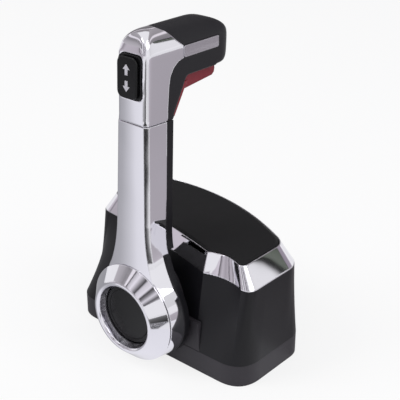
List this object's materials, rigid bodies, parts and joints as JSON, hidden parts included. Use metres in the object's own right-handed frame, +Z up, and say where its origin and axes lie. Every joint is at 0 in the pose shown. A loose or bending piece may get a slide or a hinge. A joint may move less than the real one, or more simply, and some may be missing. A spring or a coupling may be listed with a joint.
{
  "type": "boat throttle control lever",
  "caption": "Console-mounted single-lever boat throttle and shift control with trim rocker, neutral lock trigger and bright hub.",
  "frame": {"origin": "on the mounting face, directly under the lever's pivot, at the middle of the base's width", "axes": "+Z up out of the console, +Y to starboard (the lever is on the -Y side), -X ahead; the pivot runs along Y"},
  "size_m": [0.192, 0.1536, 0.2825],
  "materials": {
    "chrome": "bright plated chrome",
    "cover_black": "satin moulded black",
    "panel_black": "fine matt texture",
    "base_grey": "satin moulded dark grey",
    "grip_black": "soft-touch coating",
    "strip_satin": "satin",
    "trigger_red": "semi-gloss moulded red",
    "switch_black": "smooth satin black",
    "switch_inner": "plain moulded",
    "steel": "zinc plated steel",
    "bush_bronze": "sintered bronze",
    "inner_plastic": "natural acetal",
    "seal_rubber": "moulded rubber"
  },
  "bodies": {
    "console": {"base_frame": "base_grey", "base_gasket": "seal_rubber", "housing_cover": "cover_black", "trim_band": "chrome", "top_panel": "panel_black", "cover_screws": "steel", "port_gear_plate": "steel", "starboard_gear_plate": "steel", "tie_rods": "steel", "plate_screws": "steel", "port_bush": "bush_bronze", "starboard_bush": "bush_bronze", "spindles": "steel", "detent_bar": "steel", "detent_ball": "steel", "detent_spring": "steel", "detent_screw": "steel", "neutral_switch": "switch_inner", "cable_clamps": "inner_plastic", "clamp_screws": "steel", "neutral_gate": "steel"},
    "lever": {"arm_shell": "chrome", "hub_plate": "cover_black", "rear_cover": "cover_black", "hub_bezel": "chrome", "handle_head": "chrome", "grip": "grip_black", "grip_strips": "strip_satin", "switch_bezel": "switch_black", "switch_body": "switch_inner", "rocker_hinge_pin": "steel", "pivot_shaft": "steel", "shaft_clip": "steel", "shaft_nut": "steel", "drive_gear": "steel", "detent_wheel": "steel", "neutral_cam": "inner_plastic", "button_spring": "steel", "lock_spring": "steel"},
    "neutral_lock": {"lock_trigger": "trigger_red", "lock_pin": "steel", "lock_rod": "steel", "rod_collar": "steel"},
    "throttle_only_button": {"hub_button": "switch_black"},
    "trim_switch": {"trim_rocker": "switch_black"},
    "throttle_drive": {"throttle_quadrant": "steel", "throttle_crank": "steel", "throttle_crank_pin": "steel"},
    "shift_drive": {"shift_quadrant": "steel", "shift_crank": "steel", "shift_crank_pin": "steel"}
  },
  "joints": [
    {"name": "lever_swing", "type": "hinge", "parent": "console", "child": "lever", "pos_m": [0, 0, 0.048], "axis": [0, -1, 0], "range_deg": [-55, 80]},
    {"name": "lock_lift", "type": "slide", "parent": "lever", "child": "neutral_lock", "axis": [0, 0.045, 0.999], "range_m": [0, 0.005], "stiffness_N_per_m": 600, "springref_m": -0.004, "deforming": ["lock_spring"]},
    {"name": "button_push", "type": "slide", "parent": "lever", "child": "throttle_only_button", "axis": [0, 1, 0], "range_m": [0, 0.002], "stiffness_N_per_m": 900, "springref_m": -0.002, "deforming": ["button_spring"]},
    {"name": "trim_rock", "type": "hinge", "parent": "lever", "child": "trim_switch", "pos_m": [0, -0.07197, 0.24804], "axis": [1, 0, 0], "range_deg": [-6, 6], "stiffness_Nm_per_rad": 0.3},
    {"name": "throttle_turn", "type": "hinge", "parent": "console", "child": "throttle_drive", "pos_m": [0.048, 0, 0.048], "axis": [0, -1, 0], "range_deg": [-63, 44]},
    {"name": "shift_turn", "type": "hinge", "parent": "console", "child": "shift_drive", "pos_m": [-0.048, 0, 0.048], "axis": [0, -1, 0], "range_deg": [-63, 44]}
  ],
  "couplings": [
    {"joint": "throttle_turn", "follows": "lever_swing", "ratio": -0.77778},
    {"joint": "shift_turn", "follows": "lever_swing", "ratio": -0.77778}
  ]
}
